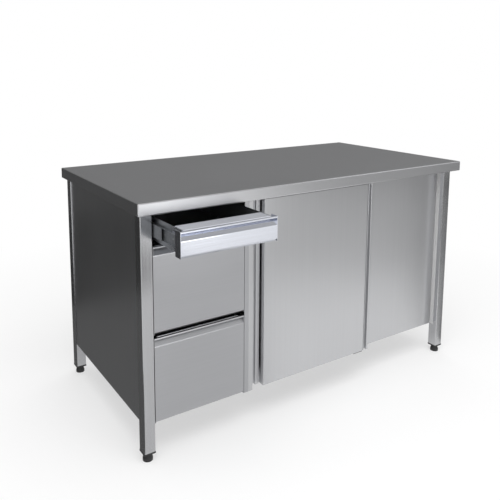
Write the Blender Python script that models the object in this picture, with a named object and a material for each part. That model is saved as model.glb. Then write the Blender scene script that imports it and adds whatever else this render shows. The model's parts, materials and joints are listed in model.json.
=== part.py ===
"""Stainless steel stand for an espresso machine, with three drawers and two sliding doors.

Metres, +Z up, +X to the right, +Y to the back. The origin is on the floor, in the middle of the
footprint as it stands, with the top drawer pulled out.
"""

import math

import bmesh
import bpy
from mathutils import Matrix, Vector

# Worktop
TOP_LENGTH = 1.500
TOP_DEPTH = 0.750
HEIGHT = 0.870
TOP_EDGE = 0.040
TOP_SHEET = 0.0015
TOP_BEND = 0.003
TOP_RETURN = 0.012
TOP_RETURN_STOP = 0.006
BOARD = 0.018
OVERHANG_SIDE = 0.020
OVERHANG_FRONT = 0.033
OVERHANG_REAR = 0.005

# Legs, inserts and feet
LEG = 0.040
LEG_WALL = 0.0015
LEG_CORNER = 0.0025
INSERT_FLANGE = 0.006
INSERT_DEPTH = 0.025
INSERT_CLEARANCE = 0.0005
FOOT_HEIGHT = 0.026
FOOT_RADIUS = 0.017
FOOT_NECK_RADIUS = 0.011
FOOT_RIM = 0.009
STEM_RADIUS = 0.005
STEM_LENGTH = 0.045
STEM_CLEARANCE = 0.0004

# Sheet panels
SHEET = 0.0012
BEND = 0.002
PANEL_RECESS = 0.004
PANEL_BOTTOM = 0.128
FLOOR_HEIGHT = 0.030
FLOOR_DOOR_GAP = 0.005
RAIL_HEIGHT = 0.029
RAIL_FLANGE = 0.026
WALL_FLANGE = 0.010
STILE = 0.0165
JAMB_FACE = 0.0205
JAMB_DEPTH = 0.025
JAMB_GROOVE = 0.0277
JAMB_GROOVE_DEPTH = 0.010
JAMB_STEP = 0.017
JAMB_RETURN = 0.015

# Drawers
DRAWER_WIDTH = 0.343
TOP_DRAWER_HEIGHT = 0.081
TOP_DRAWER_OPEN = 0.185
FRONT_SIDE_GAP = 0.0015
FRONT_STILE_GAP = 0.0015
FRONT_GAP = 0.012
FRONT_TOP_GAP = 0.008
FRONT_DEPTH = 0.033
FRONT_CHAMFER = 0.008
GRIP_HEIGHT = 0.029
GRIP_DEPTH = 0.014
GRIP_RISE = 0.019
GRIP_FALL = 0.003
GRIP_LIP = 0.006
END_PLATE_INSET = 0.0003
BOX_DEPTH = 0.562
BOX_DROP = 0.0015
BOX_FLANGE = 0.058
BOX_HEM = 0.008
BOX_CORNER = 0.004
TOP_BOX_RISE = 0.003
DEEP_BOX_RISE = 0.046

# Runners, measured from the wall that carries them
RUNNER_SPACE = 0.013
RUNNER_HEIGHT = 0.045
RUNNER_LENGTH = 0.550
RUNNER_SHEET = 0.0012
RUNNER_START = 0.002
RUNNER_CLEARANCE = 0.0004
RUNNER_WEB_GAP = 0.0008
RUNNER_OUTER_LIP = 0.0092
RUNNER_MIDDLE_LIP = 0.0087
RUNNER_INNER_LIP = 0.0072

# Sliding doors
DOOR_THICKNESS = 0.028
DOOR_SHEET = 0.001
DOOR_SETBACK = 0.005
DOOR_LANE_GAP = 0.002
DOOR_TOP_GAP = 0.0015
DOOR_LEFT_GAP = 0.0045
DOOR_RIGHT_GAP = 0.001
DOOR_OVERLAP = 0.055
DOOR_GRIP = 0.016
DOOR_GRIP_DEPTH = 0.012
DOOR_GRIP_LIP = 0.010
TRACK_SHEET = 0.0015
TRACK_LIP = 0.012
TRACK_RISE = 0.003
TRACK_FRONT = 0.006
TRACK_WEB = 0.0255
HANGER_SHEET = 0.002
HANGER_WIDTH = 0.036
HANGER_INSET = 0.070
HANGER_PLATE = 0.010
HANGER_FOOT = 0.008
WHEEL_RADIUS = 0.010
WHEEL_WIDTH = 0.008
WHEEL_GAP = 0.0015
AXLE_RADIUS = 0.0025
AXLE_CLEARANCE = 0.0003
GUIDE_PLATE = 0.0025
GUIDE_DROP = 0.001
GUIDE_HEIGHT = 0.026
GUIDE_CLEARANCE = 0.001
GUIDE_MARGIN = 0.004

# Gap between faces that rest on each other, and facets of round pieces
SEAT = 0.0003
BEND_SEGMENTS = 2
ROUND_STEPS = 24

# Planes worked out from the sizes above
LEFT = OVERHANG_SIDE - TOP_LENGTH / 2
RIGHT = -LEFT
FOOTPRINT_REACH = max(TOP_DRAWER_OPEN, OVERHANG_FRONT)
FRONT = (FOOTPRINT_REACH - TOP_DEPTH + OVERHANG_FRONT) / 2
BACK = FRONT + TOP_DEPTH - OVERHANG_FRONT - OVERHANG_REAR
INNER_LEFT = LEFT + LEG
INNER_RIGHT = RIGHT - LEG
INNER_FRONT = FRONT + LEG
INNER_BACK = BACK - LEG
BOARD_BOTTOM = HEIGHT - TOP_SHEET - SEAT - BOARD
FRAME_TOP = BOARD_BOTTOM - SEAT
RAIL_BOTTOM = FRAME_TOP - RAIL_HEIGHT
INSERT_BOTTOM = FOOT_HEIGHT + SEAT
LEG_BOTTOM = INSERT_BOTTOM + INSERT_FLANGE + SEAT
FLOOR_TOP = PANEL_BOTTOM + FLOOR_HEIGHT
REAR_LANE = DOOR_SETBACK + DOOR_THICKNESS + DOOR_LANE_GAP
FLOOR_FRONT = FRONT + REAR_LANE + DOOR_THICKNESS + FLOOR_DOOR_GAP
BAY_LEFT = INNER_LEFT + SEAT + SHEET
DRAWER_LEFT = INNER_LEFT + FRONT_SIDE_GAP
DRAWER_MIDDLE = DRAWER_LEFT + DRAWER_WIDTH / 2
PARTITION_LEFT = DRAWER_LEFT + DRAWER_WIDTH + FRONT_STILE_GAP
JAMB_LEFT = PARTITION_LEFT + STILE + SEAT
JAMB_RIGHT = JAMB_LEFT + JAMB_FACE + JAMB_GROOVE + JAMB_STEP
DOOR_BOTTOM = PANEL_BOTTOM
DOOR_TOP = RAIL_BOTTOM - DOOR_TOP_GAP
DOORS_LEFT = JAMB_RIGHT + DOOR_LEFT_GAP
DOORS_RIGHT = INNER_RIGHT - DOOR_RIGHT_GAP
DOOR_WIDTH = (DOORS_RIGHT - DOORS_LEFT + DOOR_OVERLAP) / 2
TOP_DRAWER_BOTTOM = RAIL_BOTTOM - FRONT_TOP_GAP - TOP_DRAWER_HEIGHT
DEEP_DRAWER_HEIGHT = (TOP_DRAWER_BOTTOM - 2 * FRONT_GAP - PANEL_BOTTOM) / 2

# Finishes: base colour, roughness, metallic
FINISHES = {
    "brushed_steel": ((0.62, 0.62, 0.61), 0.34, 1.0),
    "polished_steel": ((0.78, 0.79, 0.80), 0.16, 1.0),
    "zinc_steel": ((0.55, 0.56, 0.58), 0.40, 1.0),
    "aluminium": ((0.70, 0.71, 0.72), 0.45, 1.0),
    "black_plastic": ((0.015, 0.015, 0.016), 0.50, 0.0),
    "white_nylon": ((0.80, 0.79, 0.75), 0.45, 0.0),
    "board": ((0.42, 0.31, 0.20), 0.75, 0.0),
}


def clear_scene():
    for obj in list(bpy.data.objects):
        bpy.data.objects.remove(obj, do_unlink=True)


def finish_material(name, finish):
    colour, roughness, metallic = FINISHES[finish]
    material = bpy.data.materials.new(name)
    material.use_nodes = True
    shader = material.node_tree.nodes["Principled BSDF"]
    shader.inputs["Base Color"].default_value = (*colour, 1.0)
    shader.inputs["Roughness"].default_value = roughness
    shader.inputs["Metallic"].default_value = metallic
    return material


def empty(name, location):
    """A carrier that the pieces of one moving body hang on."""
    obj = bpy.data.objects.new(name, None)
    obj.location = location
    bpy.context.scene.collection.objects.link(obj)
    return obj


def add(name, mesh, finish, location=(0, 0, 0), parent=None):
    obj = bpy.data.objects.new(name, mesh)
    obj.location = location
    obj.parent = parent
    bpy.context.scene.collection.objects.link(obj)
    if not mesh.materials:
        mesh.materials.append(finish_material(name + "_finish", finish))
    return obj


def mesh_from(bm, name):
    mesh = bpy.data.meshes.new(name)
    bm.to_mesh(mesh)
    bm.free()
    return mesh


def make_sheet(obj, wall, bend):
    """Rounds the folds of a bare surface and gives it its gauge, behind its faces."""
    if bend:
        bends = obj.modifiers.new("bends", "BEVEL")
        bends.width = bend
        bends.segments = BEND_SEGMENTS
        bends.limit_method = "ANGLE"
        bends.angle_limit = math.radians(30)
    gauge = obj.modifiers.new("gauge", "SOLIDIFY")
    gauge.thickness = wall
    gauge.offset = -1
    gauge.use_even_offset = True
    return obj


def cuboid(bm, low, high):
    low, high = Vector(low), Vector(high)
    place = Matrix.Translation((low + high) / 2) @ Matrix.Diagonal((*(high - low), 1.0))
    return bmesh.ops.create_cube(bm, size=1.0, matrix=place)["verts"]


def block(name, low, high, finish, parent=None):
    """A plain rectangular piece."""
    bm = bmesh.new()
    middle = (Vector(low) + Vector(high)) / 2
    cuboid(bm, Vector(low) - middle, Vector(high) - middle)
    return add(name, mesh_from(bm, name), finish, middle, parent)


def shell(name, low, high, open_sides, wall, bend, finish):
    """A box folded from sheet, whose walls lie inside low and high, with the named sides left open."""
    bm = bmesh.new()
    middle = (Vector(low) + Vector(high)) / 2
    cuboid(bm, Vector(low) - middle, Vector(high) - middle)
    bm.normal_update()
    gone = [face for face in bm.faces for side in open_sides if face.normal.dot(Vector(side)) > 0.5]
    bmesh.ops.delete(bm, geom=gone, context="FACES_ONLY")
    return make_sheet(add(name, mesh_from(bm, name), finish, middle), wall, bend)


def in_space(axis, along, first, second):
    """A point from its distance along an axis and its place in the plane across it, in X, Y, Z order."""
    if axis == "X":
        return (along, first, second)
    if axis == "Y":
        return (first, along, second)
    return (first, second, along)


def folded(name, path, axis, span, wall, bend, finish, parent=None):
    """Sheet folded along an open path across the axis. Its face is on the left of the path's direction."""
    bm = bmesh.new()
    rows = [[bm.verts.new(in_space(axis, end, *point)) for point in path] for end in span]
    for i in range(len(path) - 1):
        corners = [rows[0][i], rows[0][i + 1], rows[1][i + 1], rows[1][i]]
        bm.faces.new(corners if axis == "Y" else corners[::-1])
    return make_sheet(add(name, mesh_from(bm, name), finish, parent=parent), wall, bend)


def prism(name, outline, axis, span, finish, parent=None):
    """A closed outline across the axis, extruded along it."""
    bm = bmesh.new()
    start = bm.faces.new([bm.verts.new(in_space(axis, span[0], *point)) for point in outline])
    grown = bmesh.ops.extrude_face_region(bm, geom=[start])["geom"]
    moved = [item for item in grown if isinstance(item, bmesh.types.BMVert)]
    bmesh.ops.translate(bm, verts=moved, vec=in_space(axis, span[1] - span[0], 0, 0))
    bmesh.ops.recalc_face_normals(bm, faces=bm.faces)
    return add(name, mesh_from(bm, name), finish, parent=parent)


def turned(name, profile, closed):
    """A mesh of revolution about Z, from points of radius and height."""
    bm = bmesh.new()
    points = [bm.verts.new((radius, 0, height)) for radius, height in profile]
    pairs = zip(points, points[1:] + points[:1]) if closed else zip(points, points[1:])
    edges = [bm.edges.new(pair) for pair in pairs]
    bmesh.ops.spin(
        bm,
        geom=points + edges,
        cent=(0, 0, 0),
        axis=(0, 0, 1),
        angle=math.tau,
        steps=ROUND_STEPS,
        use_merge=True,
    )
    bmesh.ops.remove_doubles(bm, verts=bm.verts, dist=1e-6)
    bmesh.ops.recalc_face_normals(bm, faces=bm.faces)
    mesh = mesh_from(bm, name)
    mesh.shade_smooth()
    mesh.set_sharp_from_angle(angle=math.radians(40))
    return mesh


def combine(obj, helper, operation):
    """Joins a helper to a piece, or cuts it out, and keeps the helper out of the picture."""
    helper.hide_render = True
    helper.display_type = "WIRE"
    modifier = obj.modifiers.new(helper.name, "BOOLEAN")
    modifier.operation = operation
    modifier.object = helper
    return obj


def evaluated_mesh(obj, name):
    bpy.context.view_layer.update()
    graph = bpy.context.evaluated_depsgraph_get()
    mesh = bpy.data.meshes.new_from_object(obj.evaluated_get(graph))
    mesh.name = name
    return mesh


def worktop():
    """Folded tray with a safe return along its front and sides, over a board that stiffens it."""
    x = TOP_LENGTH / 2
    front = FRONT - OVERHANG_FRONT
    back = BACK + OVERHANG_REAR
    stop = back - TOP_RETURN_STOP
    low = HEIGHT - TOP_EDGE
    inset = TOP_RETURN
    corners = {
        "front_left": (-x, front, HEIGHT),
        "front_right": (x, front, HEIGHT),
        "back_right": (x, back, HEIGHT),
        "back_left": (-x, back, HEIGHT),
        "low_front_left": (-x, front, low),
        "low_front_right": (x, front, low),
        "low_back_right": (x, back, low),
        "low_back_left": (-x, back, low),
        "stop_left": (-x, stop, low),
        "stop_right": (x, stop, low),
        "return_front_left": (-x + inset, front + inset, low),
        "return_front_right": (x - inset, front + inset, low),
        "return_stop_left": (-x + inset, stop, low),
        "return_stop_right": (x - inset, stop, low),
    }
    faces = (
        ("front_left", "front_right", "back_right", "back_left"),
        ("low_front_left", "low_front_right", "front_right", "front_left"),
        ("low_front_right", "stop_right", "low_back_right", "back_right", "front_right"),
        ("low_back_right", "low_back_left", "back_left", "back_right"),
        ("low_back_left", "stop_left", "low_front_left", "front_left", "back_left"),
        ("low_front_left", "return_front_left", "return_front_right", "low_front_right"),
        ("stop_left", "return_stop_left", "return_front_left", "low_front_left"),
        ("low_front_right", "return_front_right", "return_stop_right", "stop_right"),
    )
    sheet = sheet_of(corners, faces, "worktop_sheet", "brushed_steel", None)
    make_sheet(sheet, TOP_SHEET, TOP_BEND)
    margin = max(TOP_BEND, TOP_SHEET) + SEAT
    block(
        "worktop_board",
        (-x + margin, front + margin, BOARD_BOTTOM),
        (x - margin, back - margin, BOARD_BOTTOM + BOARD),
        "board",
    )


def sheet_of(corners, faces, name, finish, parent):
    """A bare surface from named corners, with each face's normal on its outer side."""
    bm = bmesh.new()
    points = {key: bm.verts.new(corner) for key, corner in corners.items()}
    for face in faces:
        bm.faces.new([points[key] for key in face])
    return add(name, mesh_from(bm, name), finish, parent=parent)


def leg_places():
    for depth, y in (("front", FRONT + LEG / 2), ("rear", BACK - LEG / 2)):
        for side, x in (("left", LEFT + LEG / 2), ("right", RIGHT - LEG / 2)):
            yield depth + "_" + side, x, y


def insert_mesh():
    """Plug with a square flange under the tube's end and a threaded hole through it for the foot."""
    half = LEG / 2
    plug = half - LEG_WALL - INSERT_CLEARANCE
    flange = block("insert_form", (-half, -half, 0), (half, half, INSERT_FLANGE), "black_plastic")
    plug_low = (-plug, -plug, INSERT_FLANGE / 2)
    body = block("insert_plug", plug_low, (plug, plug, INSERT_DEPTH), "black_plastic")
    radius = STEM_RADIUS + STEM_CLEARANCE
    margin = INSERT_DEPTH
    rod = ((0, -margin), (radius, -margin), (radius, INSERT_DEPTH + margin), (0, INSERT_DEPTH + margin))
    hole = add("insert_hole", turned("insert_hole", rod, False), "black_plastic")
    combine(flange, body, "UNION")
    combine(flange, hole, "DIFFERENCE")
    mesh = evaluated_mesh(flange, "insert")
    mesh.transform(flange.matrix_world)
    for helper in (flange, body, hole):
        bpy.data.objects.remove(helper, do_unlink=True)
    return mesh


def legs_and_feet():
    """Square tubes, each closed below by an insert that a levelling foot screws into."""
    insert = insert_mesh()
    foot = turned(
        "foot",
        (
            (0, 0),
            (FOOT_RADIUS, 0),
            (FOOT_RADIUS, FOOT_RIM),
            (FOOT_NECK_RADIUS, FOOT_HEIGHT),
            (STEM_RADIUS, FOOT_HEIGHT),
            (STEM_RADIUS, FOOT_HEIGHT + STEM_LENGTH),
            (0, FOOT_HEIGHT + STEM_LENGTH),
        ),
        False,
    )
    half = LEG / 2
    for place, x, y in leg_places():
        low = (x - half, y - half, LEG_BOTTOM)
        high = (x + half, y + half, FRAME_TOP)
        shell("leg_" + place, low, high, ((0, 0, 1), (0, 0, -1)), LEG_WALL, LEG_CORNER, "brushed_steel")
        add("insert_" + place, insert, "black_plastic", (x, y, INSERT_BOTTOM))
        add("foot_" + place, foot, "black_plastic", (x, y, 0))


def cabinet():
    """Panels folded like trays, set between the legs, and the rails that tie the legs under the worktop."""
    front, back = INNER_FRONT + SEAT, INNER_BACK - SEAT
    left, right = INNER_LEFT + SEAT, INNER_RIGHT - SEAT
    inward = (
        ("side_panel_left", LEFT + PANEL_RECESS, INNER_LEFT, (1, 0, 0)),
        ("side_panel_right", INNER_RIGHT, RIGHT - PANEL_RECESS, (-1, 0, 0)),
    )
    for name, x0, x1, opening in inward:
        low = (x0, front, PANEL_BOTTOM)
        high = (x1, back, FRAME_TOP)
        shell(name, low, high, (opening,), SHEET, BEND, "brushed_steel")
    rear_face = BACK - PANEL_RECESS
    rear_low = (left, INNER_BACK, PANEL_BOTTOM)
    rear_high = (right, rear_face, RAIL_BOTTOM - SEAT)
    shell("rear_panel", rear_low, rear_high, ((0, -1, 0),), SHEET, BEND, "brushed_steel")
    floor_low = (left, FLOOR_FRONT, PANEL_BOTTOM)
    floor_high = (right, back, FLOOR_TOP)
    shell("floor_panel", floor_low, floor_high, ((0, 0, -1),), SHEET, BEND, "brushed_steel")
    under = FRAME_TOP - SHEET
    front_path = ((FRONT, RAIL_BOTTOM), (FRONT, under), (FRONT - RAIL_FLANGE, under))
    rear_path = ((rear_face - RAIL_FLANGE, FRAME_TOP), (rear_face, FRAME_TOP), (rear_face, RAIL_BOTTOM))
    folded("front_rail", front_path, "X", (left, right), SHEET, BEND, "brushed_steel")
    folded("rear_rail", rear_path, "X", (left, right), SHEET, BEND, "brushed_steel")


def drawer_bay():
    """The wall and the partition that carry the runners, and the jamb that the front door closes on."""
    stop = INNER_BACK - SEAT
    wall_left = BAY_LEFT - SHEET
    wall_path = (
        (wall_left + WALL_FLANGE, FLOOR_TOP + SEAT),
        (wall_left, FLOOR_TOP + SEAT),
        (wall_left, FRAME_TOP),
        (wall_left + WALL_FLANGE, FRAME_TOP),
    )
    wall_start = FRONT + FRONT_DEPTH + RUNNER_START
    folded("drawer_bay_wall", wall_path, "Y", (wall_start, stop), SHEET, BEND, "brushed_steel")
    upright = (PANEL_BOTTOM, RAIL_BOTTOM - SEAT)
    partition_path = (
        (PARTITION_LEFT + STILE, FRONT),
        (PARTITION_LEFT, FRONT),
        (PARTITION_LEFT, stop),
        (PARTITION_LEFT + STILE, stop),
    )
    partition = folded("partition", partition_path, "Z", upright, SHEET, BEND, "brushed_steel")
    notch_low = (PARTITION_LEFT - STILE, FLOOR_FRONT - FLOOR_DOOR_GAP, PANEL_BOTTOM - FLOOR_HEIGHT)
    notch_high = (PARTITION_LEFT + 2 * STILE, BACK, FLOOR_TOP + SEAT)
    notch = block("partition_notch", notch_low, notch_high, "brushed_steel")
    combine(partition, notch, "DIFFERENCE")
    face_right = JAMB_LEFT + JAMB_FACE
    step_left = face_right + JAMB_GROOVE
    step_front = FRONT + JAMB_DEPTH
    groove_back = step_front + JAMB_GROOVE_DEPTH
    jamb_path = (
        (JAMB_RIGHT, step_front + JAMB_RETURN),
        (JAMB_RIGHT, step_front),
        (step_left, step_front),
        (step_left, groove_back),
        (face_right, groove_back),
        (face_right, FRONT),
        (JAMB_LEFT, FRONT),
        (JAMB_LEFT, FRONT + JAMB_RETURN),
    )
    folded("door_jamb", jamb_path, "Z", upright, SHEET, BEND, "brushed_steel")


def channel(name, web, lip, half_height, centre, span, parent):
    """A runner member: an upright web with a lip along its top and its bottom."""
    path = [
        (lip, centre - half_height),
        (web, centre - half_height),
        (web, centre + half_height),
        (lip, centre + half_height),
    ]
    if lip < web:
        path.reverse()
    folded(name, path, "Y", span, RUNNER_SHEET, 0, "zinc_steel", parent)


def runner(name, wall, inward, centre, carriage, follower):
    """Telescopic runner: the outer member on the wall, the inner on the drawer, the middle between them."""
    step = RUNNER_SHEET + RUNNER_CLEARANCE
    outer_half = RUNNER_HEIGHT / 2
    start = FRONT_DEPTH + RUNNER_START
    span = (start, start + RUNNER_LENGTH)
    fixed_span = (FRONT + span[0], FRONT + span[1])
    outer_web = SEAT
    middle_web = outer_web + RUNNER_SHEET + RUNNER_WEB_GAP
    inner_web = RUNNER_SPACE - SEAT
    outer_lip = outer_web + RUNNER_OUTER_LIP
    middle_lip = middle_web + RUNNER_MIDDLE_LIP
    inner_lip = inner_web - RUNNER_INNER_LIP
    local = wall - DRAWER_MIDDLE
    rows = (
        ("outer", outer_web, outer_lip, outer_half, wall, None, fixed_span),
        ("middle", middle_web, middle_lip, outer_half - step, local, follower, span),
        ("inner", inner_web, inner_lip, outer_half - 2 * step, local, carriage, span),
    )
    for member, web, lip, half, origin, parent, reach in rows:
        height = centre if parent is None else centre - parent.location.z
        node = name + "_" + member
        channel(node, origin + inward * web, origin + inward * lip, half, height, reach, parent)


def drawer_front(name, height, finish, carriage):
    """Folded front: a chamfered foot, a plain face, a finger groove under a lip, and end plates."""
    lip_face = SHEET
    path = (
        (FRONT_CHAMFER, 0),
        (0, FRONT_CHAMFER),
        (0, height - GRIP_HEIGHT),
        (GRIP_DEPTH, height - GRIP_HEIGHT + GRIP_RISE),
        (GRIP_DEPTH, height - GRIP_FALL - SHEET),
        (lip_face, height - SHEET),
        (lip_face, height - GRIP_LIP),
    )
    half = DRAWER_WIDTH / 2
    inside = half - SHEET / 2
    front = folded(name, path, "X", (-inside, inside), SHEET, BEND, finish, carriage)
    for side, x in (("left", -half), ("right", half - SHEET)):
        low = (x, END_PLATE_INSET, END_PLATE_INSET)
        high = (x + SHEET, FRONT_DEPTH, height - END_PLATE_INSET)
        plate = block(name + "_end_" + side, low, high, finish, carriage)
        combine(front, plate, "UNION")


def drawer_box(name, height, rise, carriage):
    """Folded box, open above, on the groove's back wall. Its front wall turns back into a hemmed flange."""
    left = BAY_LEFT + RUNNER_SPACE - DRAWER_MIDDLE
    right = PARTITION_LEFT - RUNNER_SPACE - DRAWER_MIDDLE
    near = GRIP_DEPTH + SHEET + SEAT
    far = near + BOX_DEPTH
    top = height - BOX_DROP
    edge = near + BOX_FLANGE
    corners = {
        "near_left": (left, near, rise),
        "near_right": (right, near, rise),
        "far_right": (right, far, rise),
        "far_left": (left, far, rise),
        "top_near_left": (left, near, top),
        "top_near_right": (right, near, top),
        "top_far_right": (right, far, top),
        "top_far_left": (left, far, top),
        "flange_left": (left + BOX_CORNER, near, top),
        "flange_right": (right - BOX_CORNER, near, top),
        "edge_left": (left + BOX_CORNER, edge, top),
        "edge_right": (right - BOX_CORNER, edge, top),
        "hem_left": (left + BOX_CORNER, edge, top - BOX_HEM),
        "hem_right": (right - BOX_CORNER, edge, top - BOX_HEM),
    }
    faces = (
        ("near_left", "far_left", "far_right", "near_right"),
        ("near_left", "near_right", "top_near_right", "flange_right", "flange_left", "top_near_left"),
        ("near_right", "far_right", "top_far_right", "top_near_right"),
        ("far_right", "far_left", "top_far_left", "top_far_right"),
        ("far_left", "near_left", "top_near_left", "top_far_left"),
        ("flange_left", "flange_right", "edge_right", "edge_left"),
        ("edge_left", "edge_right", "hem_right", "hem_left"),
    )
    make_sheet(sheet_of(corners, faces, name, "brushed_steel", carriage), SHEET, BEND)


def drawer(name, bottom, height, rise, opening, finish):
    """One drawer on its two runners, pulled out by the opening. The middle members follow at half of it."""
    carriage = empty(name + "_carriage", (DRAWER_MIDDLE, FRONT - opening, bottom))
    follower = empty(name + "_follower", (DRAWER_MIDDLE, FRONT - opening / 2, bottom))
    drawer_front(name + "_front", height, finish, carriage)
    drawer_box(name + "_box", height, rise, carriage)
    centre = bottom + (rise + height - BOX_DROP) / 2
    runner(name + "_runner_left", BAY_LEFT, 1, centre, carriage, follower)
    runner(name + "_runner_right", PARTITION_LEFT, -1, centre, carriage, follower)


def drawers():
    """Two deep drawers, closed, under a shallow one that is pulled out."""
    deep = DEEP_DRAWER_HEIGHT
    middle_bottom = PANEL_BOTTOM + deep + FRONT_GAP
    rows = (
        ("lower_drawer", PANEL_BOTTOM, deep, DEEP_BOX_RISE, 0, "brushed_steel"),
        ("middle_drawer", middle_bottom, deep, DEEP_BOX_RISE, 0, "brushed_steel"),
        (
            "top_drawer",
            TOP_DRAWER_BOTTOM,
            TOP_DRAWER_HEIGHT,
            TOP_BOX_RISE,
            TOP_DRAWER_OPEN,
            "polished_steel",
        ),
    )
    for row in rows:
        drawer(*row)


def door_track():
    """Extrusion with a lane for each door: a web under its top plate and a lip that the wheels run on."""
    lip_bottom = DOOR_TOP + TRACK_RISE
    lip_top = lip_bottom + TRACK_SHEET
    under = FRAME_TOP - TRACK_SHEET
    outline = [(FRONT + TRACK_FRONT, FRAME_TOP), (FRONT + TRACK_FRONT, under)]
    for lane in (DOOR_SETBACK, REAR_LANE):
        web = FRONT + lane + TRACK_WEB
        outline += [
            (web, under),
            (web, lip_top),
            (web - TRACK_LIP, lip_top),
            (web - TRACK_LIP, lip_bottom),
            (web + TRACK_SHEET, lip_bottom),
            (web + TRACK_SHEET, under),
        ]
    outline[-1] = (outline[-1][0], FRAME_TOP)
    prism("door_track", outline, "X", (JAMB_RIGHT + SEAT, INNER_RIGHT - SEAT), "aluminium")


def hanger(name, x, lane):
    """Bent plate that stands on the door's top and carries a wheel on a stub axle."""
    foot_bottom = DOOR_TOP + SEAT
    foot_top = foot_bottom + HANGER_SHEET
    plate_front = FRONT + lane + HANGER_PLATE
    plate_back = plate_front + HANGER_SHEET
    foot_front = plate_front - HANGER_FOOT
    axle_height = DOOR_TOP + TRACK_RISE + TRACK_SHEET + SEAT + WHEEL_RADIUS
    plate_top = axle_height + WHEEL_RADIUS / 2
    outline = (
        (foot_front, foot_bottom),
        (plate_back, foot_bottom),
        (plate_back, plate_top),
        (plate_front, plate_top),
        (plate_front, foot_top),
        (foot_front, foot_top),
    )
    half = HANGER_WIDTH / 2
    plate = prism("hanger_" + name, outline, "X", (x - half, x + half), "zinc_steel")
    reach = HANGER_SHEET / 2 + WHEEL_GAP + WHEEL_WIDTH + WHEEL_GAP / 2
    stub = ((0, 0), (AXLE_RADIUS, 0), (AXLE_RADIUS, reach), (0, reach))
    axle = add("axle_" + name, turned("axle_" + name, stub, False), "zinc_steel")
    axle.location = (x, plate_back - HANGER_SHEET / 2, axle_height)
    axle.rotation_euler = (-math.pi / 2, 0, 0)
    combine(plate, axle, "UNION")
    return plate_back + WHEEL_GAP, axle_height


def doors():
    """Hollow doors, open below, hung in two lanes, with the guide that keeps their lower ends in line."""
    bore = AXLE_RADIUS + AXLE_CLEARANCE
    tread = ((bore, 0), (WHEEL_RADIUS, 0), (WHEEL_RADIUS, WHEEL_WIDTH), (bore, WHEEL_WIDTH))
    wheel = turned("wheel", tread, True)
    rows = (
        ("front", DOOR_SETBACK, DOORS_LEFT),
        ("rear", REAR_LANE, DOORS_RIGHT - DOOR_WIDTH),
    )
    for name, lane, left in rows:
        low = (left, FRONT + lane, DOOR_BOTTOM)
        high = (left + DOOR_WIDTH, FRONT + lane + DOOR_THICKNESS, DOOR_TOP)
        shell("door_" + name, low, high, ((0, 0, -1),), DOOR_SHEET, BEND, "brushed_steel")
        for side, x in (("left", left + HANGER_INSET), ("right", left + DOOR_WIDTH - HANGER_INSET)):
            place = name + "_" + side
            wheel_front, axle_height = hanger(place, x, lane)
            piece = add("wheel_" + place, wheel, "white_nylon", (x, wheel_front, axle_height))
            piece.rotation_euler = (-math.pi / 2, 0, 0)
    door_grip()
    door_guide()


def door_grip():
    """Finger channel along the front door's right edge, with a flat lip beyond it."""
    left = DOORS_LEFT + DOOR_WIDTH + SEAT + DOOR_SHEET
    wall = left + DOOR_GRIP
    right = wall + DOOR_GRIP_LIP
    front = FRONT + DOOR_SETBACK
    floor = front + DOOR_GRIP_DEPTH
    path = (
        (right, front + DOOR_THICKNESS),
        (right, front),
        (wall, front),
        (wall, floor),
        (left, floor),
        (left, front),
    )
    folded("door_front_grip", path, "Z", (DOOR_BOTTOM, DOOR_TOP), DOOR_SHEET, BEND, "brushed_steel")


def door_guide():
    """Comb under both doors where they always overlap, hooked behind the floor panel's front edge."""
    top = DOOR_BOTTOM - GUIDE_DROP
    low = top - GUIDE_PLATE
    high = top + GUIDE_HEIGHT
    inset = DOOR_SHEET + GUIDE_CLEARANCE
    hook = FLOOR_FRONT + SHEET + SEAT
    outline = []
    for lane in (DOOR_SETBACK, REAR_LANE):
        near = FRONT + lane + inset
        far = FRONT + lane + DOOR_THICKNESS - inset
        outline += [(near, top), (near, high), (far, high), (far, top)]
    outline[0] = (outline[0][0], low)
    outline += [(hook, top), (hook, high), (hook + GUIDE_PLATE, high), (hook + GUIDE_PLATE, low)]
    left = DOORS_RIGHT - DOOR_WIDTH + GUIDE_MARGIN
    right = DOORS_LEFT + DOOR_WIDTH - GUIDE_MARGIN
    prism("door_guide", outline, "X", (left, right), "black_plastic")


def main():
    clear_scene()
    worktop()
    legs_and_feet()
    cabinet()
    drawer_bay()
    drawers()
    door_track()
    doors()


main()
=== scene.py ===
"""Looks of the stainless steel stand: finishes, small fasteners, studio light and camera."""

import json
import math

import bmesh
import bpy
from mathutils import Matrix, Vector


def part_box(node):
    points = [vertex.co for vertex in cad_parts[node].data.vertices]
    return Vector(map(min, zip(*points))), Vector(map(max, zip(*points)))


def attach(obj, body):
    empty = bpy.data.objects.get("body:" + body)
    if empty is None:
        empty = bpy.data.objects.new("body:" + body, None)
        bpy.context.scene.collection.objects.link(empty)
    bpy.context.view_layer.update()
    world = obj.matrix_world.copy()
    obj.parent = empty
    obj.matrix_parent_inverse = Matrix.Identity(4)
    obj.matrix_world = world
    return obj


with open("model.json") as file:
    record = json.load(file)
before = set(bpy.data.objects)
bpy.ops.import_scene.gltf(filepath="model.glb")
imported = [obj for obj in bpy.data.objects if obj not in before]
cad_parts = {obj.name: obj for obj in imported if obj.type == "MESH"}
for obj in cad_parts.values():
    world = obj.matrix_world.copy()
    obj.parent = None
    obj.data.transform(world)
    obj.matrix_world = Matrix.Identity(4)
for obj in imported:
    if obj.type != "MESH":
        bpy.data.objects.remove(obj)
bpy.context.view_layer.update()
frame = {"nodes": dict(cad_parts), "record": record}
NODES = frame["nodes"]

# Camera, in the part's frame, with the picture taken as square
PICTURE = 500
CAMERA_PLACE = (-1.4472, -1.8905, 1.2784)
CAMERA_YAW = 0.5622
CAMERA_PITCH = 0.1420
FOCAL_PIXELS = 594.0
SENSOR = 36.0
SHIFT_X = 0.05
SHIFT_Y = -0.20

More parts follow.
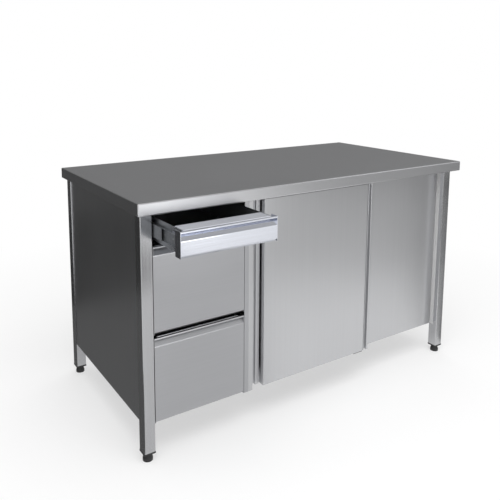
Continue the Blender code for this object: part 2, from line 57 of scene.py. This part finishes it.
# White floor, which melts into the backdrop between two distances from the stand
FLOOR_HALF = 20.0
FLOOR_NEAR = 1.1
FLOOR_FAR = 2.4
FLOOR_WHITE = 0.95
FLOOR_LIFT = 0.5
WORLD_FILL = 0.55

# Lamps, in metres and watts, aimed at one point of the stand
LAMP_TARGET = (0.0, 0.0, 0.3)
LAMPS = {
    "key": {"place": (-0.5, -1.3, 3.4), "width": 3.2, "height": 2.4, "power": 85.0},
    "fill": {"place": (0.6, 1.4, 3.4), "width": 2.6, "height": 2.0, "power": 20.0},
}

# Studio flats that stand over a line between two points of the floor
LEFT_WALL = ((-0.76, 1.10), (-3.4, 1.10))
LEFT_WALL_SPLIT = 0.5
LEFT_WALL_TOP = 2.6
BACK_WALL = ((-1.4, 1.9), (4.6, 1.9))
BACK_RIGHT_WALL = ((4.6, 1.9), (4.6, -0.6))
BACK_WALL_TOP = 4.0
RIGHT_WALL = ((1.6, -0.957), (2.9, -0.38))
RIGHT_WALL_SPLIT = 0.62
RIGHT_WALL_TOP = 1.2
LEG_CARD = ((-0.5, -1.89), (-0.07, -1.70))
LEG_CARD_TOP = 0.3
BRIGHT_CARD = ((-0.1, -2.5), (0.6, -2.5))
BRIGHT_CARD_LOW = 0.18
BRIGHT_CARD_TOP = 0.45

# Studio flats on one slanting line at the front, as the X and height of their upper corners
FRONT_LINE_Y = -1.675
FRONT_LINE_SLOPE = 0.449
FRONT_LOW_TOPS = ((-0.3, 0.18), (0.42, 0.26), (0.62, 0.5), (1.6, 0.5))
FRONT_SPLIT = 0.5
FRONT_HIGH_TOPS = ((0.4, 0.55), (0.62, 0.74), (1.1, 0.95))
FRONT_FAR_TOPS = ((1.1, 0.95), (1.6, 1.0))
OVERHEAD_LOW = 1.4
OVERHEAD_TOPS = ((0.0, 2.6), (0.95, 2.6))
CORNER_LOW = 0.44
CORNER_TOPS = ((-0.4, 1.1), (0.12, 1.1))

# Studio flats that lie just over the floor, by their corners
LYING_HEIGHT = 0.002
LEFT_MAT = ((-3.4, -0.8), (-0.735, -0.8), (-0.735, 1.1), (-3.4, 1.1))
DRAWER_MAT = ((-0.75, -0.3), (-0.2, -0.3), (0.5, -1.35), (-0.25, -1.35))
RIGHT_MAT = ((0.75, -0.27), (1.9, -0.27), (1.9, -0.895), (1.51, -0.895), (0.85, -0.374))

# Pale strip on the right leg's inner side beside the rear door, a painted reflection of the door, measured
# from the leg's front face and its inner side
STRIP_FRONT = 0.018
STRIP_BACK = 0.0395
STRIP_THICKNESS = 0.0006
STRIP_SEAT = 0.0001
STRIP_STEPS = 8
STRIP_CROWN = 0.5

# Screw heads, as radius and height from their seat, and their places along a runner
SCREW_PROFILE = (
    (0.0, 0.00002),
    (0.0032, 0.00002),
    (0.0026, 0.0003),
    (0.0013, 0.0003),
    (0.0011, 0.00008),
    (0.0, 0.00008),
)
SCREW_STEPS = 12
SCREW_PLACES = (0.06, 0.16, 0.50, 0.94)
RUNNER_SHEET = 0.0012
WELD = 0.000001
DRAWERS = ("top_drawer", "middle_drawer", "lower_drawer")

# Part of a pattern's range, from 0 to 1, over which it changes a finish
TINT_START = 0.3
TINT_RANGE = 0.4
TINT_END = TINT_START + TINT_RANGE

# Brushed steel: cycles per metre along and across, changes of roughness, relief as depth and strength
GRAIN_ALONG = 4.0
GRAIN_ACROSS = 1100.0
GRAIN_CHANGE = 0.012
GRAIN_ROUGHNESS = (-0.01, 0.015)
GRAIN_RELIEF = (0.00004, 0.16)
STREAK_ALONG = 1.2
STREAK_ACROSS = 170.0
CLOUD_SCALE = 5.0
CLOUD_SWIRL = 0.6
CLOUD_ROUGHNESS = (-0.012, 0.015)

# Polished front flange of the top drawer's box
BOX_FLANGE = 0.0585
POLISH_BLEND = 0.0005
POLISH_ROUGHNESS = 0.16

# Zinc plating
MOTTLE_SCALE = 140.0
MOTTLE_CHANGE = 0.10
MOTTLE_RELIEF = (0.00004, 0.2)
PATCH_SCALE = 18.0
PATCH_SWIRL = 1.0
PATCH_ROUGHNESS = (-0.06, 0.12)

# Moulded plastic
SPARK_SCALE = 1400.0
SPARK_RELIEF = (0.00006, 0.5)
SCUFF_SCALE = 60.0
SCUFF_CHANGE = 0.25
SCUFF_ROUGHNESS = (-0.06, 0.10)

# Chipboard
CHIP_SCALE = 260.0
CHIP_CHANGE = 0.35
CHIP_DULL = 0.8
CHIP_ROUGHNESS = (0.7, 0.9)
CHIP_RELIEF = (0.0002, 0.4)

# Base colours
STEEL = (0.563, 0.567, 0.580)
# Legs in a darker copy of the steel: painted shade
LEG_SHADED_STEEL = (0.50, 0.503, 0.515)
# Darker copy of the steel for the shut drawers and the partition: painted shade
SHADED_STEEL = (0.455, 0.459, 0.475)
POLISHED_STEEL = (0.72, 0.74, 0.80)
# Top drawer's box behind its flange, darker as painted shade of its sides and inside
BOX_SHADE_STEEL = (0.376, 0.392, 0.416)
ZINC = (0.56, 0.57, 0.60)
# Darker copies of the zinc for the drawer runners: painted shade, deepest on the middle members
SHADED_ZINC = (0.376, 0.392, 0.416)
DEEP_SHADED_ZINC = (0.30, 0.312, 0.33)
ALUMINIUM = (0.70, 0.71, 0.72)
BLACK = (0.018, 0.018, 0.019)
NYLON = (0.78, 0.77, 0.73)
# Pale grey of the strip on the right leg: painted reflection of the door
PALE_REFLECTION_GREY = (0.62, 0.62, 0.62)
CHIPS = (0.40, 0.28, 0.17)

# Nodes that are brushed along Z, by the start of their names, and nodes in a darker copy of the steel, which
# is painted shade
UPRIGHT = ("leg", "side_panel", "rear_panel", "door_front", "door_rear", "partition", "door_jamb")
SHADED_NODES = ("middle_drawer_box", "lower_drawer_box", "middle_drawer_front", "lower_drawer_front")


class Finish:
    """A Principled material whose patterns lie in the piece's own space."""

    def __init__(self, name, colour, roughness, metallic):
        self.material = bpy.data.materials.new(name)
        self.material.use_nodes = True
        self.tree = self.material.node_tree
        self.shader = self.tree.nodes["Principled BSDF"]
        self.shader.inputs["Base Color"].default_value = (*colour, 1.0)
        self.shader.inputs["Roughness"].default_value = roughness
        self.shader.inputs["Metallic"].default_value = metallic
        self.place = self.node("ShaderNodeTexCoord").outputs["Object"]

    def node(self, kind, **settings):
        made = self.tree.nodes.new(kind)
        for key, value in settings.items():
            setattr(made, key, value)
        return made

    def link(self, source, target):
        self.tree.links.new(source, target)

    def noise(self, scale, detail=2.0, distortion=0.0):
        """Noise between 0 and 1, stretched by the scale along each axis."""
        stretch = self.node("ShaderNodeMapping")
        stretch.inputs["Scale"].default_value = scale
        self.link(self.place, stretch.inputs["Vector"])
        made = self.node("ShaderNodeTexNoise")
        made.inputs["Scale"].default_value = 1.0
        made.inputs["Detail"].default_value = detail
        made.inputs["Distortion"].default_value = distortion
        self.link(stretch.outputs["Vector"], made.inputs["Vector"])
        return made.outputs["Fac"]

    def spread(self, source, low, high, start=TINT_START, end=TINT_END):
        """Maps a pattern's middle range to a range of values."""
        made = self.node("ShaderNodeMapRange")
        made.inputs["From Min"].default_value = start
        made.inputs["From Max"].default_value = end
        made.inputs["To Min"].default_value = low
        made.inputs["To Max"].default_value = high
        self.link(source, made.inputs["Value"])
        return made.outputs["Result"]

    def vary(self, source, value, change):
        """Maps a pattern's middle range to a value, less and more by the two changes."""
        return self.spread(source, value + change[0], value + change[1])

    def sum(self, first, second):
        made = self.node("ShaderNodeMath", operation="ADD")
        self.link(first, made.inputs[0])
        self.link(second, made.inputs[1])
        return made.outputs["Value"]

    def tint(self, source, *colours):
        """Colours the middle range of a pattern, from the first colour to the last."""
        ramp = self.node("ShaderNodeValToRGB")
        stops = ramp.color_ramp.elements
        while len(stops) < len(colours):
            stops.new(1.0)
        for index, colour in enumerate(colours):
            stops[index].position = TINT_START + TINT_RANGE * index / (len(colours) - 1)
            stops[index].color = (*colour, 1.0)
        self.link(source, ramp.inputs["Fac"])
        self.link(ramp.outputs["Color"], self.shader.inputs["Base Color"])

    def roughen(self, source):
        self.link(source, self.shader.inputs["Roughness"])

    def relief(self, source, depth, strength):
        bump = self.node("ShaderNodeBump")
        bump.inputs["Strength"].default_value = strength
        bump.inputs["Distance"].default_value = depth
        self.link(source, bump.inputs["Height"])
        self.link(bump.outputs["Normal"], self.shader.inputs["Normal"])


def shades(colour, change):
    """The colour, darkened and lightened by the same share."""
    dark = [channel * (1 - change) for channel in colour]
    light = [min(channel * (1 + change), 1.0) for channel in colour]
    return dark, light


def along(axis, lengthwise, across):
    return [lengthwise if name == axis else across for name in "XYZ"]


def even(scale):
    return (scale, scale, scale)


def brushed(name, colour, roughness, axis, change=GRAIN_CHANGE):
    """Brushed steel: long hairlines, wider streaks and faint clouds where it was wiped."""
    finish = Finish(name, colour, roughness, metallic=1.0)
    hairline = finish.noise(along(axis, GRAIN_ALONG, GRAIN_ACROSS), detail=3.0)
    streak = finish.noise(along(axis, STREAK_ALONG, STREAK_ACROSS), detail=2.0)
    cloud = finish.noise(even(CLOUD_SCALE), detail=3.0, distortion=CLOUD_SWIRL)
    grain = finish.sum(finish.spread(hairline, 0.0, 0.5), finish.spread(streak, 0.0, 0.5))
    finish.tint(grain, *shades(colour, change))
    wiped = finish.vary(cloud, roughness, CLOUD_ROUGHNESS)
    finish.roughen(finish.sum(wiped, finish.spread(grain, *GRAIN_ROUGHNESS)))
    finish.relief(hairline, *GRAIN_RELIEF)
    return finish.material


def half_polished(name, near, far, edge):
    """Brushed steel with one colour and roughness in front of the edge and another behind it."""
    finish = Finish(name, far[0], far[1], metallic=1.0)
    split = finish.node("ShaderNodeSeparateXYZ")
    finish.link(finish.place, split.inputs["Vector"])
    limits = (edge - POLISH_BLEND, edge + POLISH_BLEND)
    hairline = finish.noise(along("X", GRAIN_ALONG, GRAIN_ACROSS), detail=3.0)
    colours = (*shades(near[0], GRAIN_CHANGE), *shades(far[0], GRAIN_CHANGE))
    step = TINT_RANGE / (len(colours) - 1)
    side = finish.spread(split.outputs["Y"], TINT_START, TINT_START + 2 * step, *limits)
    finish.tint(finish.sum(side, finish.spread(hairline, 0.0, step)), *colours)
    dullness = finish.spread(split.outputs["Y"], near[1], far[1], *limits)
    finish.roughen(finish.sum(dullness, finish.spread(hairline, *GRAIN_ROUGHNESS)))
    finish.relief(hairline, *GRAIN_RELIEF)
    return finish.material


def plated(name, colour, roughness):
    """Zinc plating: soft mottling with a few duller patches."""
    finish = Finish(name, colour, roughness, metallic=1.0)
    mottle = finish.noise(even(MOTTLE_SCALE), detail=3.0)
    patch = finish.noise(even(PATCH_SCALE), detail=2.0, distortion=PATCH_SWIRL)
    finish.tint(mottle, *shades(colour, MOTTLE_CHANGE))
    finish.roughen(finish.vary(patch, roughness, PATCH_ROUGHNESS))
    finish.relief(mottle, *MOTTLE_RELIEF)
    return finish.material


def moulded(name, colour, roughness, change=SCUFF_CHANGE):
    """Moulded plastic: fine spark grain and slightly scuffed."""
    finish = Finish(name, colour, roughness, metallic=0.0)
    spark = finish.noise(even(SPARK_SCALE), detail=2.0)
    scuff = finish.noise(even(SCUFF_SCALE), detail=4.0)
    finish.tint(scuff, *shades(colour, change))
    finish.roughen(finish.vary(scuff, roughness, SCUFF_ROUGHNESS))
    finish.relief(spark, *SPARK_RELIEF)
    return finish.material


def chipboard(name, colour):
    """Pressed chips of several browns."""
    finish = Finish(name, colour, CHIP_DULL, metallic=0.0)
    chips = finish.node("ShaderNodeTexVoronoi")
    chips.inputs["Scale"].default_value = CHIP_SCALE
    finish.link(finish.place, chips.inputs["Vector"])
    split = finish.node("ShaderNodeSeparateColor")
    finish.link(chips.outputs["Color"], split.inputs["Color"])
    finish.tint(split.outputs["Red"], *shades(colour, CHIP_CHANGE))
    finish.roughen(finish.spread(split.outputs["Green"], *CHIP_ROUGHNESS))
    finish.relief(chips.outputs["Distance"], *CHIP_RELIEF)
    return finish.material


FINISHES = {
    "steel_lengthwise": brushed("steel_lengthwise", STEEL, roughness=0.32, axis="X"),
    "steel_upright": brushed("steel_upright", STEEL, roughness=0.32, axis="Z"),
    # Legs: smoother brushed tube, darker as painted shade
    "steel_leg_shaded": brushed("steel_leg_shaded", LEG_SHADED_STEEL, roughness=0.22, axis="Z"),
    # Darker copies of the brushed steel: painted shade on the shut drawers and the partition
    "steel_painted_shade": brushed("steel_painted_shade", SHADED_STEEL, roughness=0.34, axis="X"),
    "steel_painted_shade_upright": brushed("steel_painted_shade_upright", SHADED_STEEL, roughness=0.34, axis="Z"),
    "steel_polished": brushed(
        "steel_polished", POLISHED_STEEL, roughness=POLISH_ROUGHNESS, axis="X", change=0.02
    ),
    # Behind the polished flange the box is darker: painted shade
    "steel_drawer_box_shaded": half_polished(
        "steel_drawer_box_shaded",
        near=(POLISHED_STEEL, POLISH_ROUGHNESS),
        far=(BOX_SHADE_STEEL, 0.42),
        edge=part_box("top_drawer_box")[0][1] + BOX_FLANGE,
    ),
    "zinc": plated("zinc", ZINC, roughness=0.34),
    # Runner zinc in darker copies: painted shade
    "zinc_painted_shade": plated("zinc_painted_shade", SHADED_ZINC, roughness=0.46),
    "zinc_painted_deep_shade": plated("zinc_painted_deep_shade", DEEP_SHADED_ZINC, roughness=0.46),
    "anodised": brushed("anodised", ALUMINIUM, roughness=0.42, axis="X", change=0.03),
    "black_moulding": moulded("black_moulding", BLACK, roughness=0.42),
    "nylon": moulded("nylon", NYLON, roughness=0.38),
    # Pale moulding for the strip on the right leg: painted reflection
    "painted_reflection_grey": moulded("painted_reflection_grey", PALE_REFLECTION_GREY, roughness=0.5, change=0.03),
    "chipboard": chipboard("chipboard", CHIPS),
}


def finish_of(node, slot):
    if slot == "polished_steel":
        return "steel_polished"
    if node in SHADED_NODES:
        return "steel_painted_shade"
    if node == "top_drawer_box":
        return "steel_drawer_box_shaded"
    if node == "partition":
        return "steel_painted_shade_upright"
    # Runners take the darker zinc, as painted shade
    if "_runner_" in node:
        return "zinc_painted_deep_shade" if node.endswith("_middle") else "zinc_painted_shade"
    if node.startswith("leg"):
        return "steel_leg_shaded"
    if slot == "brushed_steel":
        return "steel_upright" if node.startswith(UPRIGHT) else "steel_lengthwise"
    return {
        "zinc_steel": "zinc",
        "aluminium": "anodised",
        "black_plastic": "black_moulding",
        "white_nylon": "nylon",
        "board": "chipboard",
    }[slot]


def dress_nodes():
    for row in frame["record"]["subparts"]:
        piece = NODES[row["node"]]
        piece.material_slots[0].material = FINISHES[finish_of(row["node"], row["material_slot"])]


def new_piece(name, shape, material):
    """Makes an object of a bmesh, and frees the bmesh."""
    mesh = bpy.data.meshes.new(name)
    shape.to_mesh(mesh)
    shape.free()
    mesh.materials.append(material)
    piece = bpy.data.objects.new(name, mesh)
    bpy.context.scene.collection.objects.link(piece)
    return piece


def add_door_buffer():
    """A slim crowned pale strip on the right leg's inner side beside the rear door: a painted reflection of
    the door.
    """
    leg_low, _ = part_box("leg_front_right")
    door_low, door_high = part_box("door_rear")
    back = leg_low[0] - STRIP_SEAT
    middle = leg_low[1] + (STRIP_FRONT + STRIP_BACK) / 2
    half = (STRIP_BACK - STRIP_FRONT) / 2
    shape = bmesh.new()
    outline = []
    for step in range(STRIP_STEPS + 1):
        turn = math.pi * step / STRIP_STEPS
        rise = STRIP_THICKNESS * math.sin(turn) ** STRIP_CROWN
        outline.append((back - rise, middle - half * math.cos(turn)))
    corners = [shape.verts.new((x, y, door_low[2])) for x, y in outline]
    base = shape.faces.new(corners)
    raised = bmesh.ops.extrude_face_region(shape, geom=[base])
    top = [part for part in raised["geom"] if isinstance(part, bmesh.types.BMVert)]
    bmesh.ops.translate(shape, verts=top, vec=(0.0, 0.0, door_high[2] - door_low[2]))
    bmesh.ops.recalc_face_normals(shape, faces=shape.faces)
    strip = new_piece("door_buffer", shape, FINISHES["painted_reflection_grey"])
    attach(strip, "cabinet")


def screw_head(shape, place, facing):
    """Turns one closed screw head, whose axis points along X, and sets it in its place."""
    others = len(shape.verts)
    line = [shape.verts.new((facing * rise, radius, 0.0)) for radius, rise in SCREW_PROFILE]
    edges = [shape.edges.new(pair) for pair in zip(line, line[1:])]
    bmesh.ops.spin(
        shape,
        geom=line + edges,
        axis=(1.0, 0.0, 0.0),
        cent=(0.0, 0.0, 0.0),
        angle=2 * math.pi,
        steps=SCREW_STEPS,
    )
    shape.verts.ensure_lookup_table()
    bmesh.ops.translate(shape, verts=shape.verts[others:], vec=place)


def add_runner_screws():
    """Countersunk screws that hold the inner runner members to the drawers."""
    for drawer in DRAWERS:
        for side, facing in (("left", -1), ("right", 1)):
            low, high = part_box(f"{drawer}_runner_{side}_inner")
            seat = high[0] - RUNNER_SHEET if side == "left" else low[0] + RUNNER_SHEET
            middle = (low[2] + high[2]) / 2
            shape = bmesh.new()
            for share in SCREW_PLACES:
                screw_head(shape, (seat, low[1] + share * (high[1] - low[1]), middle), facing)
            bmesh.ops.remove_doubles(shape, verts=shape.verts, dist=WELD)
            bmesh.ops.recalc_face_normals(shape, faces=shape.faces)
            screws = new_piece(f"{drawer}_runner_{side}_screws", shape, FINISHES["zinc"])
            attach(screws, drawer)


def shown_white(tree):
    """1 for rays that show the white backdrop: to the eye, in reflections and through glass."""
    path = tree.nodes.new("ShaderNodeLightPath")
    total = path.outputs["Is Camera Ray"]
    for ray in ("Is Glossy Ray", "Is Transmission Ray"):
        larger = tree.nodes.new("ShaderNodeMath")
        larger.operation = "MAXIMUM"
        tree.links.new(total, larger.inputs[0])
        tree.links.new(path.outputs[ray], larger.inputs[1])
        total = larger.outputs["Value"]
    return total


def make_world():
    world = bpy.data.worlds.new("studio")
    bpy.context.scene.world = world
    world.use_nodes = True
    tree = world.node_tree
    background = tree.nodes["Background"]
    background.inputs["Color"].default_value = (1.0, 1.0, 1.0, 1.0)
    level = tree.nodes.new("ShaderNodeMapRange")
    level.inputs["To Min"].default_value = WORLD_FILL
    level.inputs["To Max"].default_value = 1.0
    tree.links.new(shown_white(tree), level.inputs["Value"])
    tree.links.new(level.outputs["Result"], background.inputs["Strength"])


def make_floor():
    """White floor that keeps the shadow near the stand and melts into the backdrop further away."""
    half = FLOOR_HALF
    mesh = bpy.data.meshes.new("floor")
    corners = [(-half, -half, 0), (half, -half, 0), (half, half, 0), (-half, half, 0)]
    mesh.from_pydata(corners, [], [(0, 1, 2, 3)])
    floor = bpy.data.objects.new("floor", mesh)
    bpy.context.scene.collection.objects.link(floor)
    material = bpy.data.materials.new("floor_white")
    material.use_nodes = True
    tree = material.node_tree
    tree.nodes.clear()
    output = tree.nodes.new("ShaderNodeOutputMaterial")
    matt = tree.nodes.new("ShaderNodeBsdfDiffuse")
    matt.inputs["Color"].default_value = (FLOOR_WHITE, FLOOR_WHITE, FLOOR_WHITE, 1.0)
    glow = tree.nodes.new("ShaderNodeEmission")
    place = tree.nodes.new("ShaderNodeTexCoord")
    distance = tree.nodes.new("ShaderNodeVectorMath")
    distance.operation = "LENGTH"
    tree.links.new(place.outputs["Object"], distance.inputs[0])
    fade = tree.nodes.new("ShaderNodeMapRange")
    fade.interpolation_type = "SMOOTHSTEP"
    fade.inputs["From Min"].default_value = FLOOR_NEAR
    fade.inputs["From Max"].default_value = FLOOR_FAR
    fade.inputs["To Min"].default_value = FLOOR_LIFT
    tree.links.new(distance.outputs["Value"], fade.inputs["Value"])
    both = tree.nodes.new("ShaderNodeMath")
    both.operation = "MULTIPLY"
    tree.links.new(fade.outputs["Result"], both.inputs[0])
    tree.links.new(shown_white(tree), both.inputs[1])
    mix = tree.nodes.new("ShaderNodeMixShader")
    tree.links.new(both.outputs["Value"], mix.inputs["Fac"])
    tree.links.new(matt.outputs["BSDF"], mix.inputs[1])
    tree.links.new(glow.outputs["Emission"], mix.inputs[2])
    tree.links.new(mix.outputs["Shader"], output.inputs["Surface"])
    mesh.materials.append(material)


def aim(obj, target):
    obj.rotation_euler = (Vector(target) - obj.location).to_track_quat("-Z", "Y").to_euler()


def softbox(name, place, width, height, power):
    light = bpy.data.lights.new(name, "AREA")
    light.shape = "RECTANGLE"
    light.size = width
    light.size_y = height
    light.energy = power
    lamp = bpy.data.objects.new(name, light)
    lamp.location = place
    lamp.visible_glossy = False
    aim(lamp, LAMP_TARGET)
    bpy.context.scene.collection.objects.link(lamp)


def flat(name, corners, level, far_level=None):
    """A plain studio flat that only reflections show, and that may fade from its lowest X to its highest."""
    mesh = bpy.data.meshes.new(name)
    mesh.from_pydata(corners, [], [tuple(range(len(corners)))])
    card = bpy.data.objects.new(name, mesh)
    bpy.context.scene.collection.objects.link(card)
    material = bpy.data.materials.new(name)
    material.use_nodes = True
    tree = material.node_tree
    tree.nodes.clear()
    output = tree.nodes.new("ShaderNodeOutputMaterial")
    glow = tree.nodes.new("ShaderNodeEmission")
    glow.inputs["Strength"].default_value = level
    if far_level is not None:
        place = tree.nodes.new("ShaderNodeTexCoord")
        split = tree.nodes.new("ShaderNodeSeparateXYZ")
        tree.links.new(place.outputs["Object"], split.inputs["Vector"])
        fade = tree.nodes.new("ShaderNodeMapRange")
        fade.inputs["From Min"].default_value = min(corner[0] for corner in corners)
        fade.inputs["From Max"].default_value = max(corner[0] for corner in corners)
        fade.inputs["To Min"].default_value = level
        fade.inputs["To Max"].default_value = far_level
        tree.links.new(split.outputs["X"], fade.inputs["Value"])
        tree.links.new(fade.outputs["Result"], glow.inputs["Strength"])
    tree.links.new(glow.outputs["Emission"], output.inputs["Surface"])
    mesh.materials.append(material)
    card.visible_camera = False
    card.visible_diffuse = False
    card.visible_shadow = False
    card.visible_transmission = False


def standing(line, low, high):
    """Corners of a flat that stands over a line on the floor."""
    start, end = line
    return [(*start, low), (*end, low), (*end, high), (*start, high)]


def along_front(tops, low=0.0):
    """Corners of a flat on the front line, from its upper corners' X and height."""
    feet = [(x, FRONT_LINE_Y + FRONT_LINE_SLOPE * x, low) for x, _ in tops]
    heads = [(x, FRONT_LINE_Y + FRONT_LINE_SLOPE * x, high) for x, high in tops]
    return feet + heads[::-1]


def lying(corners):
    return [(x, y, LYING_HEIGHT) for x, y in corners]


def make_light():
    for name, lamp in LAMPS.items():
        softbox(name, **lamp)
    flat("flat_left", standing(LEFT_WALL, 0.0, LEFT_WALL_SPLIT), level=0.05)
    flat("flat_left_high", standing(LEFT_WALL, LEFT_WALL_SPLIT, LEFT_WALL_TOP), level=0.08)
    flat("flat_left_floor", lying(LEFT_MAT), level=0.12)
    flat("flat_back", standing(BACK_WALL, 0.0, BACK_WALL_TOP), level=0.24)
    flat("flat_back_right", standing(BACK_RIGHT_WALL, 0.0, BACK_WALL_TOP), level=0.22)
    flat("flat_front_low", along_front(FRONT_LOW_TOPS), level=0.44, far_level=0.72)
    flat("flat_front_high", along_front(FRONT_HIGH_TOPS, FRONT_SPLIT), level=0.60, far_level=0.30)
    flat("flat_front_far", along_front(FRONT_FAR_TOPS, FRONT_SPLIT), level=0.46)
    flat("flat_front_top", along_front(OVERHEAD_TOPS, OVERHEAD_LOW), level=0.45)
    flat("flat_right", standing(RIGHT_WALL, 0.0, RIGHT_WALL_SPLIT), level=0.05)
    flat("flat_right_high", standing(RIGHT_WALL, RIGHT_WALL_SPLIT, RIGHT_WALL_TOP), level=0.42)
    flat("flat_leg", standing(LEG_CARD, 0.0, LEG_CARD_TOP), level=0.05)
    flat("flat_corner", along_front(CORNER_TOPS, CORNER_LOW), level=2.6)
    flat("flat_drawers", lying(DRAWER_MAT), level=0.80)
    flat("flat_right_floor", lying(RIGHT_MAT), level=0.08)
    flat("flat_bright", standing(BRIGHT_CARD, BRIGHT_CARD_LOW, BRIGHT_CARD_TOP), level=2.0)


def make_camera():
    lens = bpy.data.cameras.new("camera")
    lens.sensor_width = SENSOR
    lens.lens = FOCAL_PIXELS * SENSOR / PICTURE
    lens.shift_x = SHIFT_X
    lens.shift_y = SHIFT_Y
    camera = bpy.data.objects.new("camera", lens)
    camera.location = CAMERA_PLACE
    camera.rotation_euler = (math.pi / 2 - CAMERA_PITCH, 0.0, -CAMERA_YAW)
    bpy.context.scene.collection.objects.link(camera)
    bpy.context.scene.camera = camera


dress_nodes()
add_door_buffer()
add_runner_screws()
make_world()
make_floor()
make_light()
make_camera()
bpy.context.scene.view_settings.view_transform = "Standard"
